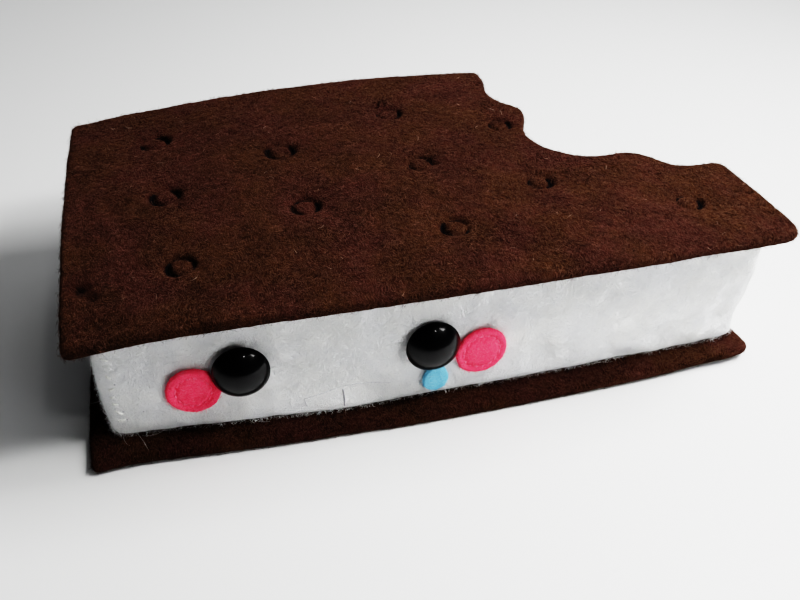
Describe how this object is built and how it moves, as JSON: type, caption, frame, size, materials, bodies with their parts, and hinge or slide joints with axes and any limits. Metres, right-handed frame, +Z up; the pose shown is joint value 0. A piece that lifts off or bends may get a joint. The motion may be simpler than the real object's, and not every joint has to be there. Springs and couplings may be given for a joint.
{
  "type": "felt toy ice cream sandwich",
  "caption": "Sewn felt toy ice cream sandwich with a bite taken out: brown cookies, a stuffed white filling and a small face with domed eyes.",
  "frame": {"origin": "middle of the box round the part, at its underside", "axes": "+X along the sandwich, with the bite at its far end; the face looks towards -Y; +Z is up"},
  "size_m": [0.153, 0.0874, 0.0401],
  "materials": {
    "brown_felt": "brushed felt, matt",
    "white_felt": "brushed felt, matt",
    "pink_felt": "brushed felt, matt",
    "blue_felt": "brushed felt, matt",
    "black_plastic": "polished"
  },
  "bodies": {
    "root": {"top_cookie": "brown_felt", "bottom_cookie": "brown_felt", "filling": "white_felt", "eye_left": "black_plastic", "eye_right": "black_plastic", "cheek_left": "pink_felt", "cheek_right": "pink_felt", "tear": "blue_felt"}
  },
  "joints": []
}
